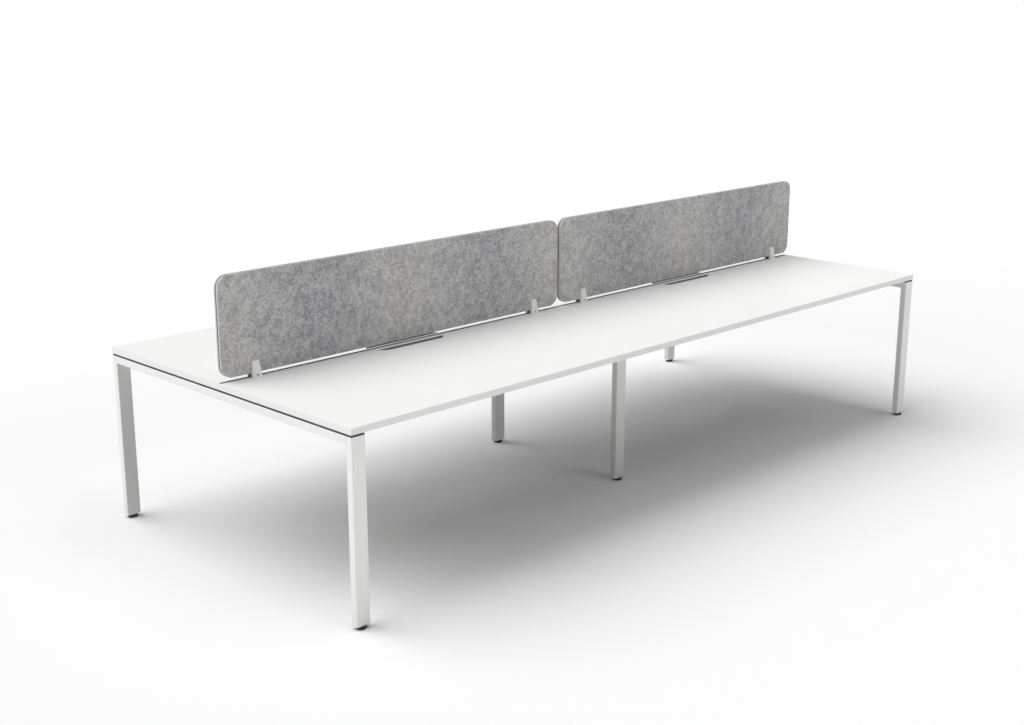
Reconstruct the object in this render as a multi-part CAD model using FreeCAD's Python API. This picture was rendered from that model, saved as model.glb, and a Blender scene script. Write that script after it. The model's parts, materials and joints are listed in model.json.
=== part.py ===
import FreeCAD, Part
import math
import os

from FreeCAD import Vector

# Four-person workstation: two bays of facing worktops on a tube frame, with felt
# screens clamped along the gap between the tops. Millimetres, +Z up, X along the
# desks, the front users at -Y. The origin is on the floor under the middle.

# Worktops
BAY_LENGTH = 1800.0
TOP_DEPTH = 760.0
TOP_THICKNESS = 25.0
TOP_GAP = 10.0
DESK_HEIGHT = 730.0
BAND_THICKNESS = 2.0

# Cable slots, one in each worktop beside the gap
SLOT_LENGTH_FRONT = 346.0
SLOT_LENGTH_BACK = 392.0
SLOT_WIDTH = 29.0
SLOT_STRIP_FRONT = 26.0
SLOT_STRIP_BACK = 11.0
SLOT_RADIUS = 45.0
SLOT_SHIFT = 3.0

# Frame tubes, laid flat in rails and beams and upright in legs
TUBE_WIDTH = 60.0
TUBE_DEPTH = 30.0
TUBE_WALL = 2.0
TUBE_RADIUS = 3.0
MIDDLE_LEG_OFFSET = 380.0
BEAM_LEG_GAP = 15.0

# Spacers and screws between the frame and the worktops
SPACER_HEIGHT = 8.0
SPACER_DIAMETER = 24.0
TOP_SCREW_DIAMETER = 5.0
TOP_SCREW_BITE = 15.0
TOP_SCREW_HEAD = 10.0
TOP_SCREW_HEAD_HEIGHT = 3.0
END_FIXING_INSET = 145.0
MIDDLE_FIXING_INNER = 100.0
MIDDLE_FIXING_OUTER = 230.0
BEAM_FIXING_INSET = 450.0

# Joint plates screwed under the meeting rails and beams
PLATE_THICKNESS = 4.0
PLATE_WIDTH = 50.0
PLATE_ON_RAIL = 45.0
PLATE_ON_BEAM = 65.0
PLATE_SCREW_DIAMETER = 5.0
PLATE_SCREW_LENGTH = 12.0
PLATE_SCREW_HEAD = 10.0
PLATE_SCREW_HEAD_HEIGHT = 3.0
PLATE_SCREW_INSET = 12.0

# Levelling feet in the leg ends
FOOT_DIAMETER = 40.0
FOOT_HEIGHT = 13.0
FOOT_ROUNDING = 2.0
STEM_DIAMETER = 10.0
STEM_SEAT = 8.0
STEM_ABOVE_INSERT = 10.0
STEM_CLEARANCE = 0.05
INSERT_HEIGHT = 30.0

# Felt screens
SCREEN_HEIGHT = 385.0
SCREEN_SPACING = 16.0
SCREEN_END_GAP = 4.0
SCREEN_LIFT = 16.0
SCREEN_RADIUS = 48.0
SKIN_THICKNESS = 9.0
CORE_THICKNESS = 6.0
CORE_INSET = 10.0

# Screen clamps
CLAMP_FROM_MIDDLE = 162.5
CLAMP_FROM_END = 153.0
JAW_HEIGHT = 62.0
JAW_TOP_WIDTH = 30.0
JAW_BASE_WIDTH = 40.0
JAW_TOP_REACH = 3.0
JAW_BASE_REACH = 16.0
JAW_WEB = 5.0
JAW_ROUNDING = 1.0
BLOCK_WIDTH = 36.0
TONGUE_CLEARANCE = 0.5
CLAMP_SCREW_HEIGHT = 9.0
CLAMP_SCREW_DIAMETER = 5.0
CLAMP_SCREW_HEAD = 7.6
CLAMP_SCREW_HEAD_HEIGHT = 5.0
CLAMP_SCREW_BITE = 8.0
CLAMP_HEAD_CLEARANCE = 0.2
CLAMP_PLATE_DEPTH = 60.0
CLAMP_PLATE_THICKNESS = 4.0
CLAMP_BOLT_DIAMETER = 5.0
CLAMP_BOLT_HEAD = 8.0
CLAMP_BOLT_HEAD_HEIGHT = 3.5
HOLE_CLEARANCE = 0.2

# Levels and lines that the pieces share
TOP_UNDERSIDE = DESK_HEIGHT - TOP_THICKNESS
FRAME_TOP = TOP_UNDERSIDE - SPACER_HEIGHT
FRAME_UNDERSIDE = FRAME_TOP - TUBE_DEPTH
DESK_END = BAY_LENGTH
DESK_FRONT = TOP_GAP / 2 + TOP_DEPTH
END_FRAME_X = DESK_END - TUBE_WIDTH / 2
END_LEG_Y = DESK_FRONT - TUBE_DEPTH / 2
BEAM_OFFSET = MIDDLE_LEG_OFFSET - TUBE_DEPTH / 2 - BEAM_LEG_GAP - TUBE_WIDTH / 2
SCREEN_LENGTH = BAY_LENGTH - SCREEN_SPACING / 2 - SCREEN_END_GAP
SCREEN_HALF = CORE_THICKNESS / 2 + SKIN_THICKNESS
SCREEN_BOTTOM = DESK_HEIGHT + SCREEN_LIFT

SIDES = (("left", -1), ("right", 1))
ROWS = (("front", -1), ("back", 1))
FRAMES = (
    ("left", -END_FRAME_X, END_LEG_Y),
    ("middle", 0.0, MIDDLE_LEG_OFFSET),
    ("right", END_FRAME_X, END_LEG_Y),
)
CLAMPS = (
    ("left_outer", CLAMP_FROM_END - DESK_END),
    ("left_inner", -CLAMP_FROM_MIDDLE),
    ("right_inner", CLAMP_FROM_MIDDLE),
    ("right_outer", DESK_END - CLAMP_FROM_END),
)


def save(name, shape):
    """Writes one named piece."""
    shape.exportStep("parts/" + name + ".step")


def save_group(name, solids):
    """Writes identical small pieces together under one name."""
    save(name, Part.makeCompound(solids))


def span(x_range, y_range, z_range):
    """A box between two limits on each axis, in either order."""
    low = Vector(min(x_range), min(y_range), min(z_range))
    high = Vector(max(x_range), max(y_range), max(z_range))
    size = high - low
    return Part.makeBox(size.x, size.y, size.z, low)


def pin(diameter, start, end):
    """A round bar between two points."""
    along = end - start
    return Part.makeCylinder(diameter / 2, along.Length, start, along)


def rounded_outline(width, height, radius):
    """A closed wire round the origin in the XY plane, with rounded corners."""
    x = width / 2
    y = height / 2
    slant = radius * math.sqrt(0.5)
    edges = []
    corners = ((x - radius, y - radius, 1, 1), (radius - x, y - radius, -1, 1),
               (radius - x, radius - y, -1, -1), (x - radius, radius - y, 1, -1))
    arcs = []
    for cx, cy, sx, sy in corners:
        along_x = Vector(cx + sx * radius, cy, 0)
        along_y = Vector(cx, cy + sy * radius, 0)
        middle = Vector(cx + sx * slant, cy + sy * slant, 0)
        ends = (along_x, along_y) if sx == sy else (along_y, along_x)
        arcs.append((ends[0], middle, ends[1]))
    for index, (start, middle, end) in enumerate(arcs):
        edges.append(Part.Arc(start, middle, end).toShape())
        following = arcs[(index + 1) % len(arcs)][0]
        edges.append(Part.LineSegment(end, following).toShape())
    return Part.Wire(edges)


def tube(length):
    """A rectangular tube standing on the XY plane round the origin."""
    outer = Part.Face(rounded_outline(TUBE_WIDTH, TUBE_DEPTH, TUBE_RADIUS))
    inner_radius = max(TUBE_RADIUS - TUBE_WALL, TUBE_WALL / 2)
    inner = rounded_outline(TUBE_WIDTH - 2 * TUBE_WALL, TUBE_DEPTH - 2 * TUBE_WALL, inner_radius)
    rise = Vector(0, 0, length)
    return outer.extrude(rise).cut(Part.Face(inner).extrude(rise)), Part.Face(inner)


def fixing_points(side, row):
    """Where one worktop is screwed to the frame, on its end rail, middle rail and beam."""
    end_x = side * END_FRAME_X
    middle_x = side * TUBE_WIDTH / 4
    beam_y = row * BEAM_OFFSET
    outer_y = row * (DESK_FRONT - END_FIXING_INSET)
    inner_y = row * (TOP_GAP / 2 + END_FIXING_INSET)
    return (
        (end_x, outer_y),
        (end_x, inner_y),
        (middle_x, row * MIDDLE_FIXING_INNER),
        (middle_x, row * MIDDLE_FIXING_OUTER),
        (side * BEAM_FIXING_INSET, beam_y),
        (side * (DESK_END - BEAM_FIXING_INSET), beam_y),
    )


def all_fixings():
    """The fixing points of the four worktops."""
    return [point for _, side in SIDES for _, row in ROWS for point in fixing_points(side, row)]


def plate_layout():
    """Each joint plate as its X limits, its Y and the X of its screws."""
    plates = []
    for _, row in ROWS:
        y = row * BEAM_OFFSET
        reach = TUBE_WIDTH / 2 + PLATE_ON_BEAM
        outer = reach - PLATE_SCREW_INSET
        inner = TUBE_WIDTH / 2 + PLATE_SCREW_INSET
        plates.append((-reach, reach, y, [-outer, -inner, 0.0, inner, outer]))
        for _, side in SIDES:
            joint = DESK_END - TUBE_WIDTH
            far = joint + PLATE_ON_RAIL
            near = joint - PLATE_ON_BEAM
            screws = (far - PLATE_SCREW_INSET, joint - PLATE_SCREW_INSET, near + PLATE_SCREW_INSET)
            plates.append((side * near, side * far, y, [side * x for x in screws]))
    return plates


def plate_screw_points():
    """The X and Y of each joint screw, two abreast."""
    offset = PLATE_WIDTH / 2 - PLATE_SCREW_INSET
    points = []
    for _, _, y, screws in plate_layout():
        points += [Vector(x, y + abreast, 0) for x in screws for abreast in (-offset, offset)]
    return points


def rising_bores(diameter, points, bottom, top):
    """Upright bars at given X and Y between two levels."""
    return [pin(diameter, Vector(x, y, bottom), Vector(x, y, top)) for x, y in points]


def frame_bores():
    """The holes that the top screws and joint screws need in rails and beams."""
    through = TOP_SCREW_DIAMETER + 2 * HOLE_CLEARANCE
    bores = rising_bores(through, all_fixings(), FRAME_UNDERSIDE, FRAME_TOP)
    plate_points = [(point.x, point.y) for point in plate_screw_points()]
    tapped_top = FRAME_UNDERSIDE + TUBE_WALL
    return bores + rising_bores(PLATE_SCREW_DIAMETER, plate_points, FRAME_UNDERSIDE, tapped_top)


def slot_shape(side, row):
    """One cable slot: straight towards the gap, with wide arcs on the user's side."""
    length, strip = ((SLOT_LENGTH_FRONT, SLOT_STRIP_FRONT) if row < 0
                     else (SLOT_LENGTH_BACK, SLOT_STRIP_BACK))
    near = TOP_GAP / 2 + strip
    far = near + SLOT_WIDTH
    centre_y = far - SLOT_RADIUS
    sweep = math.sqrt(SLOT_RADIUS ** 2 - (near - centre_y) ** 2)
    half = length / 2
    flat = half - sweep
    middle_angle = (math.asin((near - centre_y) / SLOT_RADIUS) + math.pi / 2) / 2
    middle_x = flat + SLOT_RADIUS * math.cos(middle_angle)
    middle_y = centre_y + SLOT_RADIUS * math.sin(middle_angle)
    centre_x = side * (BAY_LENGTH / 2 - SLOT_SHIFT)

    def place(x, y):
        return Vector(centre_x + x, row * y, TOP_UNDERSIDE)

    edges = [
        Part.LineSegment(place(-half, near), place(half, near)).toShape(),
        Part.Arc(place(half, near), place(middle_x, middle_y), place(flat, far)).toShape(),
        Part.LineSegment(place(flat, far), place(-flat, far)).toShape(),
        Part.Arc(place(-flat, far), place(-middle_x, middle_y), place(-half, near)).toShape(),
    ]
    return Part.Face(Part.Wire(edges)).extrude(Vector(0, 0, TOP_THICKNESS))


def make_worktops():
    """Four boards with their edge bands."""
    levels = (TOP_UNDERSIDE, DESK_HEIGHT)
    band = BAND_THICKNESS
    for side_name, side in SIDES:
        for row_name, row in ROWS:
            near = TOP_GAP / 2
            whole = span((0, side * DESK_END), (row * near, row * DESK_FRONT), levels)
            x_core = (side * band, side * (DESK_END - band))
            y_core = (row * (near + band), row * (DESK_FRONT - band))
            core = span(x_core, y_core, levels)
            name = row_name + "_" + side_name
            save("edge_band_" + name, whole.cut(core))
            pilots = rising_bores(TOP_SCREW_DIAMETER, fixing_points(side, row),
                                  TOP_UNDERSIDE, TOP_UNDERSIDE + TOP_SCREW_BITE)
            save("worktop_" + name, core.cut([slot_shape(side, row)] + pilots))


def make_frame():
    """Legs, rails and beams."""
    bores = frame_bores()
    for frame_name, x, leg_y in FRAMES:
        for row_name, row in ROWS:
            leg, inside = tube(FRAME_TOP - FOOT_HEIGHT)
            cap = inside.extrude(Vector(0, 0, TUBE_WALL))
            cap.translate(Vector(0, 0, FRAME_TOP - FOOT_HEIGHT - TUBE_WALL))
            leg = leg.fuse(cap).removeSplitter()
            leg.translate(Vector(x, row * leg_y, FOOT_HEIGHT))
            save("leg_" + frame_name + "_" + row_name, leg)
        rail_end = leg_y - TUBE_DEPTH / 2
        rail, _ = tube(2 * rail_end)
        rail.rotate(Vector(), Vector(1, 0, 0), 90)
        rail.translate(Vector(x, rail_end, FRAME_UNDERSIDE + TUBE_DEPTH / 2))
        save("rail_" + frame_name, rail.cut(bores))
    for side_name, side in SIDES:
        for row_name, row in ROWS:
            beam, _ = tube(DESK_END - TUBE_WIDTH - TUBE_WIDTH / 2)
            beam.rotate(Vector(), Vector(0, 0, 1), 90)
            beam.rotate(Vector(), Vector(0, 1, 0), side * 90)
            beam.translate(Vector(side * TUBE_WIDTH / 2, row * BEAM_OFFSET, FRAME_UNDERSIDE + TUBE_DEPTH / 2))
            save("beam_" + row_name + "_" + side_name, beam.cut(bores))


def make_fixings():
    """Spacers and screws under the worktops, joint plates and their screws."""
    spacers = []
    top_screws = []
    for x, y in all_fixings():
        bottom = Vector(x, y, FRAME_TOP)
        top = Vector(x, y, TOP_UNDERSIDE)
        bore = pin(TOP_SCREW_DIAMETER + 2 * HOLE_CLEARANCE, bottom, top)
        spacers.append(pin(SPACER_DIAMETER, bottom, top).cut(bore))
        seat = Vector(x, y, FRAME_UNDERSIDE)
        shank = pin(TOP_SCREW_DIAMETER, seat, Vector(x, y, TOP_UNDERSIDE + TOP_SCREW_BITE))
        head = pin(TOP_SCREW_HEAD, Vector(x, y, FRAME_UNDERSIDE - TOP_SCREW_HEAD_HEIGHT), seat)
        top_screws.append(head.fuse(shank))
    save_group("top_spacers", spacers)
    save_group("top_screws", top_screws)

    plate_bottom = FRAME_UNDERSIDE - PLATE_THICKNESS
    points = [(point.x, point.y) for point in plate_screw_points()]
    holes = rising_bores(PLATE_SCREW_DIAMETER + 2 * HOLE_CLEARANCE, points, plate_bottom, FRAME_UNDERSIDE)
    plates = []
    for low, high, y, _ in plate_layout():
        wide = (y - PLATE_WIDTH / 2, y + PLATE_WIDTH / 2)
        plates.append(span((low, high), wide, (plate_bottom, FRAME_UNDERSIDE)).cut(holes))
    save_group("joint_plates", [solid for plate in plates for solid in plate.Solids])

    joint_screws = []
    for x, y in points:
        seat = Vector(x, y, plate_bottom)
        shank = pin(PLATE_SCREW_DIAMETER, seat, Vector(x, y, plate_bottom + PLATE_SCREW_LENGTH))
        head = pin(PLATE_SCREW_HEAD, Vector(x, y, plate_bottom - PLATE_SCREW_HEAD_HEIGHT), seat)
        joint_screws.append(head.fuse(shank))
    save_group("joint_screws", joint_screws)


def make_feet():
    """Leg inserts, and the pads and stems of the levelling feet."""
    inserts = []
    for frame_name, x, leg_y in FRAMES:
        for row_name, row in ROWS:
            y = row * leg_y
            _, inside = tube(INSERT_HEIGHT)
            plug = inside.extrude(Vector(0, 0, INSERT_HEIGHT))
            plug.translate(Vector(x, y, FOOT_HEIGHT))
            top = FOOT_HEIGHT + INSERT_HEIGHT
            bore = STEM_DIAMETER + 2 * STEM_CLEARANCE
            inserts.append(plug.cut(pin(bore, Vector(x, y, FOOT_HEIGHT), Vector(x, y, top))))

            pad = pin(FOOT_DIAMETER, Vector(x, y, 0), Vector(x, y, FOOT_HEIGHT))
            rims = [edge for edge in pad.Edges if edge.Closed]
            pad = pad.makeFillet(FOOT_ROUNDING, rims)
            seat = Vector(x, y, FOOT_HEIGHT - STEM_SEAT)
            pad = pad.cut(pin(STEM_DIAMETER, seat, Vector(x, y, FOOT_HEIGHT)))
            save("foot_pad_" + frame_name + "_" + row_name, pad)
            stem = pin(STEM_DIAMETER, seat, Vector(x, y, top + STEM_ABOVE_INSERT))
            save("foot_stem_" + frame_name + "_" + row_name, stem)
    save_group("leg_inserts", inserts)


def screen_layer(side, inset, back, front):
    """One layer of a screen between two Y planes, set in from the screen's outline."""
    outline = rounded_outline(SCREEN_LENGTH - 2 * inset, SCREEN_HEIGHT - 2 * inset, SCREEN_RADIUS - inset)
    layer = Part.Face(outline).extrude(Vector(0, 0, back - front))
    layer.rotate(Vector(), Vector(1, 0, 0), 90)
    centre_x = side * (SCREEN_SPACING + SCREEN_LENGTH) / 2
    layer.translate(Vector(centre_x, back, SCREEN_BOTTOM + SCREEN_HEIGHT / 2))
    return layer


def make_screens():
    """Two screens of three layers."""
    core = CORE_THICKNESS / 2
    for side_name, side in SIDES:
        save("screen_front_" + side_name, screen_layer(side, 0, -core, -SCREEN_HALF))
        save("screen_core_" + side_name, screen_layer(side, CORE_INSET, core, -core))
        save("screen_back_" + side_name, screen_layer(side, 0, SCREEN_HALF, core))


def jaw(x, row):
    """One tapered clamp jaw against a screen face."""
    face = SCREEN_HALF

    def ring(width, reach, z):
        half = width / 2
        corners = [Vector(x - half, row * face, z), Vector(x + half, row * face, z),
                   Vector(x + half, row * (face + reach), z), Vector(x - half, row * (face + reach), z)]
        return Part.makePolygon(corners + corners[:1])

    base = ring(JAW_BASE_WIDTH, JAW_BASE_REACH, DESK_HEIGHT)
    top = ring(JAW_TOP_WIDTH, JAW_TOP_REACH, DESK_HEIGHT + JAW_HEIGHT)
    body = Part.makeLoft([base, top], True, True)
    outer = [edge for edge in body.Edges
             if all(abs(vertex.Y) > face + JAW_ROUNDING for vertex in edge.Vertexes)
             and not all(vertex.Z < DESK_HEIGHT + JAW_ROUNDING for vertex in edge.Vertexes)]
    body = body.makeFillet(JAW_ROUNDING, outer)
    z = DESK_HEIGHT + CLAMP_SCREW_HEIGHT
    through = pin(CLAMP_SCREW_DIAMETER + 2 * HOLE_CLEARANCE,
                  Vector(x, row * face, z), Vector(x, row * (face + JAW_WEB), z))
    sink = pin(CLAMP_SCREW_HEAD + 2 * CLAMP_HEAD_CLEARANCE,
               Vector(x, row * (face + JAW_WEB), z), Vector(x, row * (face + JAW_BASE_REACH), z))
    return body.cut([through, sink])


def clamp_screw(x, row):
    """The screw that pulls one jaw against its clamp block."""
    z = DESK_HEIGHT + CLAMP_SCREW_HEIGHT
    web = SCREEN_HALF + JAW_WEB
    tip = Vector(x, row * (SCREEN_HALF - CLAMP_SCREW_BITE), z)
    seat = Vector(x, row * web, z)
    crown = Vector(x, row * (web + CLAMP_SCREW_HEAD_HEIGHT), z)
    return pin(CLAMP_SCREW_HEAD, seat, crown).fuse(pin(CLAMP_SCREW_DIAMETER, tip, seat))


def make_clamps():
    """Jaws, blocks, plates, screws and bolts of the screen clamps."""
    screws = []
    plates = []
    bolts = []
    plate_bottom = TOP_UNDERSIDE - CLAMP_PLATE_THICKNESS
    for clamp_name, x in CLAMPS:
        for row_name, row in ROWS:
            save("clamp_jaw_" + clamp_name + "_" + row_name, jaw(x, row))
            screws.append(clamp_screw(x, row))
        wide = (x - BLOCK_WIDTH / 2, x + BLOCK_WIDTH / 2)
        tongue_half = TOP_GAP / 2 - TONGUE_CLEARANCE
        block = span(wide, (-SCREEN_HALF, SCREEN_HALF), (DESK_HEIGHT, SCREEN_BOTTOM))
        tongue = span(wide, (-tongue_half, tongue_half), (TOP_UNDERSIDE, DESK_HEIGHT))
        tapped = [clamp_screw(x, row) for _, row in ROWS]
        tapped.append(pin(CLAMP_BOLT_DIAMETER, Vector(x, 0, TOP_UNDERSIDE), Vector(x, 0, DESK_HEIGHT)))
        save("clamp_block_" + clamp_name, block.fuse(tongue).removeSplitter().cut(tapped))

        deep = (-CLAMP_PLATE_DEPTH / 2, CLAMP_PLATE_DEPTH / 2)
        seat = Vector(x, 0, plate_bottom)
        hole = pin(CLAMP_BOLT_DIAMETER + 2 * HOLE_CLEARANCE, seat, Vector(x, 0, TOP_UNDERSIDE))
        plates.append(span(wide, deep, (plate_bottom, TOP_UNDERSIDE)).cut(hole))
        shank = pin(CLAMP_BOLT_DIAMETER, seat, Vector(x, 0, DESK_HEIGHT))
        head = pin(CLAMP_BOLT_HEAD, Vector(x, 0, plate_bottom - CLAMP_BOLT_HEAD_HEIGHT), seat)
        bolts.append(head.fuse(shank))
    save_group("clamp_screws", screws)
    save_group("clamp_plates", plates)
    save_group("clamp_bolts", bolts)


os.makedirs("parts", exist_ok=True)
make_worktops()
make_frame()
make_fixings()
make_feet()
make_screens()
make_clamps()
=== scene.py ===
"""Four-person workstation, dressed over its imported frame.

Two bays of facing white worktops stand on a powder-coated tube frame. Felt screens are
clamped along the gap between the worktops, and the legs end in black levelling feet.
Lengths are in metres, +Z is up, X runs along the desks and the front row is at -Y.
"""

from __future__ import annotations

import json
import logging
import math
from dataclasses import dataclass
from enum import Enum
from typing import Any, Optional

import bmesh
import bpy
from mathutils import Matrix, Vector

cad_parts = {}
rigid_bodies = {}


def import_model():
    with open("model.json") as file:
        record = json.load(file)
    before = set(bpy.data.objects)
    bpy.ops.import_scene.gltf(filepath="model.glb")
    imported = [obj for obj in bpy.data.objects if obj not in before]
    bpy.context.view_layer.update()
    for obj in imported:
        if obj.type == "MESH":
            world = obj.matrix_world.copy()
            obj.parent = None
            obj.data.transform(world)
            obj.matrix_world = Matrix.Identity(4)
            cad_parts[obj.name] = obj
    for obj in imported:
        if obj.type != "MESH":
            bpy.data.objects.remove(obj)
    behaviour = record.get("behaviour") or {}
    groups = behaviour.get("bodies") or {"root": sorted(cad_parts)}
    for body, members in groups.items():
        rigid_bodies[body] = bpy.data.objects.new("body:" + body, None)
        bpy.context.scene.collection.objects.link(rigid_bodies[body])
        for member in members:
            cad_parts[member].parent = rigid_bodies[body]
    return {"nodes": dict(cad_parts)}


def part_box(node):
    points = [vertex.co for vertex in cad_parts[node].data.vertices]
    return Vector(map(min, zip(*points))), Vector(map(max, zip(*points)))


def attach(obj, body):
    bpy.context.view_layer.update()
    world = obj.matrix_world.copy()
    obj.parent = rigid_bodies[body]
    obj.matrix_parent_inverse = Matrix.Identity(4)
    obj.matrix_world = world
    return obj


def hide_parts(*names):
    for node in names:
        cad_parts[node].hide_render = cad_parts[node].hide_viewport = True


LOG = logging.getLogger("workstation")
MM = 0.001
SIDES = ("left", "right")
ROWS = ("front", "back")
FRAMES = ("left", "middle", "right")
PLACES = ("inner", "outer")
# Marks a felt skin's rim faces, which are painted pale, partly as a painted highlight.
CUT = "cut_edge"
WHITE = "#FFFFFF"
# Points closer than this are one point.
NEAR = 1e-6
# Edges that turn by less are shaded smooth. On a rounded rim the limit is finer, so that the
# flat face beside it stays flat.
SMOOTH_DEG = 32.0
RIM_SMOOTH_DEG = 10.0
# Sockets of the Mix node, which has one set for numbers and one for colours.
FACTOR, NUMBER_A, NUMBER_B, NUMBER_OUT = 0, 2, 3, 0
COLOUR_A, COLOUR_B, COLOUR_OUT = 6, 7, 2
# At a scale of 1 the Wave node turns this many radians in a metre.
WAVE_RATE = 20.0

Nodes = dict[str, bpy.types.Object]
Tree = bpy.types.NodeTree
Node = bpy.types.Node
Socket = bpy.types.NodeSocket


def linear(code: str) -> tuple[float, float, float, float]:
    """Turns an sRGB hex colour to linear RGBA.

    Args:
        code: Six hex digits after a hash sign.

    Returns:
        The linear colour with an alpha of 1.
    """
    shares = [int(code[i:i + 2], 16) / 255 for i in (1, 3, 5)]
    red, green, blue = (
        share / 12.92 if share <= 0.04045 else ((share + 0.055) / 1.055) ** 2.4 for share in shares)
    return red, green, blue, 1.0


def per_metre(size_mm: float) -> float:
    """Gives the texture scale whose cells are about this many millimetres wide."""
    return 1.0 / (size_mm * MM)


def add_node(tree: Tree, kind: str, inputs: Optional[dict[Any, Any]] = None, **settings: Any) -> Node:
    """Adds one node with its settings and links.

    Args:
        tree: The node tree that takes the node.
        kind: The node's type name.
        inputs: Values for its inputs, or the sockets to link to them.
        settings: Properties of the node.

    Returns:
        The new node.
    """
    made = tree.nodes.new(kind)
    for name, value in settings.items():
        setattr(made, name, value)
    for name, value in (inputs or {}).items():
        if isinstance(value, Socket):
            tree.links.new(value, made.inputs[name])
        else:
            made.inputs[name].default_value = value
    return made


@dataclass(frozen=True)
class Finish:
    """One surface finish, made into a material the first time it is asked for.

    Args:
        name: The material's name.
        slot: The frame's material slot that it belongs to; not used.
        colour: Its lighter colour.
        shade: Its darker colour.
        roughness: Its mean roughness.
        spread: How far the roughness goes to either side.
    """

    name: str
    slot: str
    colour: str
    shade: str
    roughness: float
    spread: float

    def material(self) -> bpy.types.Material:
        """Gives the finish's material.

        Returns:
            The material, with its pattern painted on Object coordinates.
        """
        made = bpy.data.materials.get(self.name)
        if made is None:
            made = bpy.data.materials.new(self.name)
            made.use_nodes = True
            tree = made.node_tree
            place = add_node(tree, "ShaderNodeTexCoord").outputs["Object"]
            self.paint(tree, tree.nodes["Principled BSDF"], place)
        return made

    def paint(self, tree: Tree, shader: Node, place: Socket) -> None:
        """Paints the finish's own pattern.

        Args:
            tree: The material's node tree.
            shader: Its surface shader.
            place: Object coordinates.
        """
        raise NotImplementedError

    def tint(self, tree: Tree, shader: Node, amount: Socket) -> None:
        """Lets colour and roughness drift together with a pattern.

        Args:
            tree: The material's node tree.
            shader: Its surface shader.
            amount: A pattern from 0 to 1.
        """
        mixed = add_node(tree, "ShaderNodeMix", {
            FACTOR: amount, COLOUR_A: linear(self.shade), COLOUR_B: linear(self.colour)}, data_type="RGBA")
        tree.links.new(mixed.outputs[COLOUR_OUT], shader.inputs["Base Color"])
        gloss = add_node(tree, "ShaderNodeMapRange", {
            "Value": amount, "To Min": self.roughness + self.spread,
            "To Max": self.roughness - self.spread})
        tree.links.new(gloss.outputs["Result"], shader.inputs["Roughness"])

    def raise_grain(self, tree: Tree, shader: Node, height: Socket, strength: float,
                    depth_mm: float) -> None:
        """Bumps the surface by a pattern.

        Args:
            tree: The material's node tree.
            shader: Its surface shader.
            height: The pattern's height from 0 to 1.
            strength: How much of the bump is used.
            depth_mm: The bump's full depth.
        """
        bump = add_node(tree, "ShaderNodeBump", {
            "Strength": strength, "Distance": depth_mm * MM, "Height": height})
        tree.links.new(bump.outputs["Normal"], shader.inputs["Normal"])


@dataclass(frozen=True)
class PebbledFinish(Finish):
    """A moulded, faced or coated skin with a fine pebbled grain and a slow drift of tone.

    Pressed melamine, powder coat and moulded nylon all show a satin sheen that breaks up
    over a grain. The real grain is under a millimetre, so it is drawn coarser to show.

    Args:
        pebble_mm: Width of a pebble.
        drift_mm: Width of the drifts of tone.
        strength: How much of the bump is used.
        depth_mm: The bump's full depth.
        shine: How strong the mirror part of the sheen is.
    """

    pebble_mm: float = 2.5
    drift_mm: float = 300.0
    strength: float = 0.12
    depth_mm: float = 0.12
    shine: float = 0.5

    def paint(self, tree: Tree, shader: Node, place: Socket) -> None:
        """Paints the drift and the pebbles.

        Args:
            tree: The material's node tree.
            shader: Its surface shader.
            place: Object coordinates.
        """
        drift = add_node(tree, "ShaderNodeTexNoise", {
            "Vector": place, "Scale": per_metre(self.drift_mm), "Detail": 3.0, "Roughness": 0.6})
        self.tint(tree, shader, drift.outputs["Fac"])
        shader.inputs["Specular IOR Level"].default_value = self.shine
        pebbles = add_node(tree, "ShaderNodeTexNoise", {
            "Vector": place, "Scale": per_metre(self.pebble_mm), "Detail": 2.0, "Roughness": 0.5})
        self.raise_grain(tree, shader, pebbles.outputs["Fac"], self.strength, self.depth_mm)


@dataclass(frozen=True)
class ZincPlate(Finish):
    """Plated steel with a soft spangle and fine drawn lines.

    Both are drawn coarser than the real ones, which are too fine to show.

    Args:
        spangle_mm: Width of a spangle.
        line_mm: Width of a drawn line.
        strength: How much of the bump is used.
        depth_mm: The bump's full depth.
    """

    spangle_mm: float = 3.0
    line_mm: float = 0.8
    strength: float = 0.15
    depth_mm: float = 0.05

    def paint(self, tree: Tree, shader: Node, place: Socket) -> None:
        """Paints the spangle and the drawn lines.

        Args:
            tree: The material's node tree.
            shader: Its surface shader.
            place: Object coordinates.
        """
        shader.inputs["Metallic"].default_value = 1.0
        spangle = add_node(tree, "ShaderNodeTexVoronoi", {
            "Vector": place, "Scale": per_metre(self.spangle_mm)})
        self.tint(tree, shader, spangle.outputs["Distance"])
        lines = add_node(tree, "ShaderNodeTexNoise", {
            "Vector": place, "Scale": per_metre(self.line_mm), "Detail": 2.0})
        self.raise_grain(tree, shader, lines.outputs["Fac"], self.strength, self.depth_mm)


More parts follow.
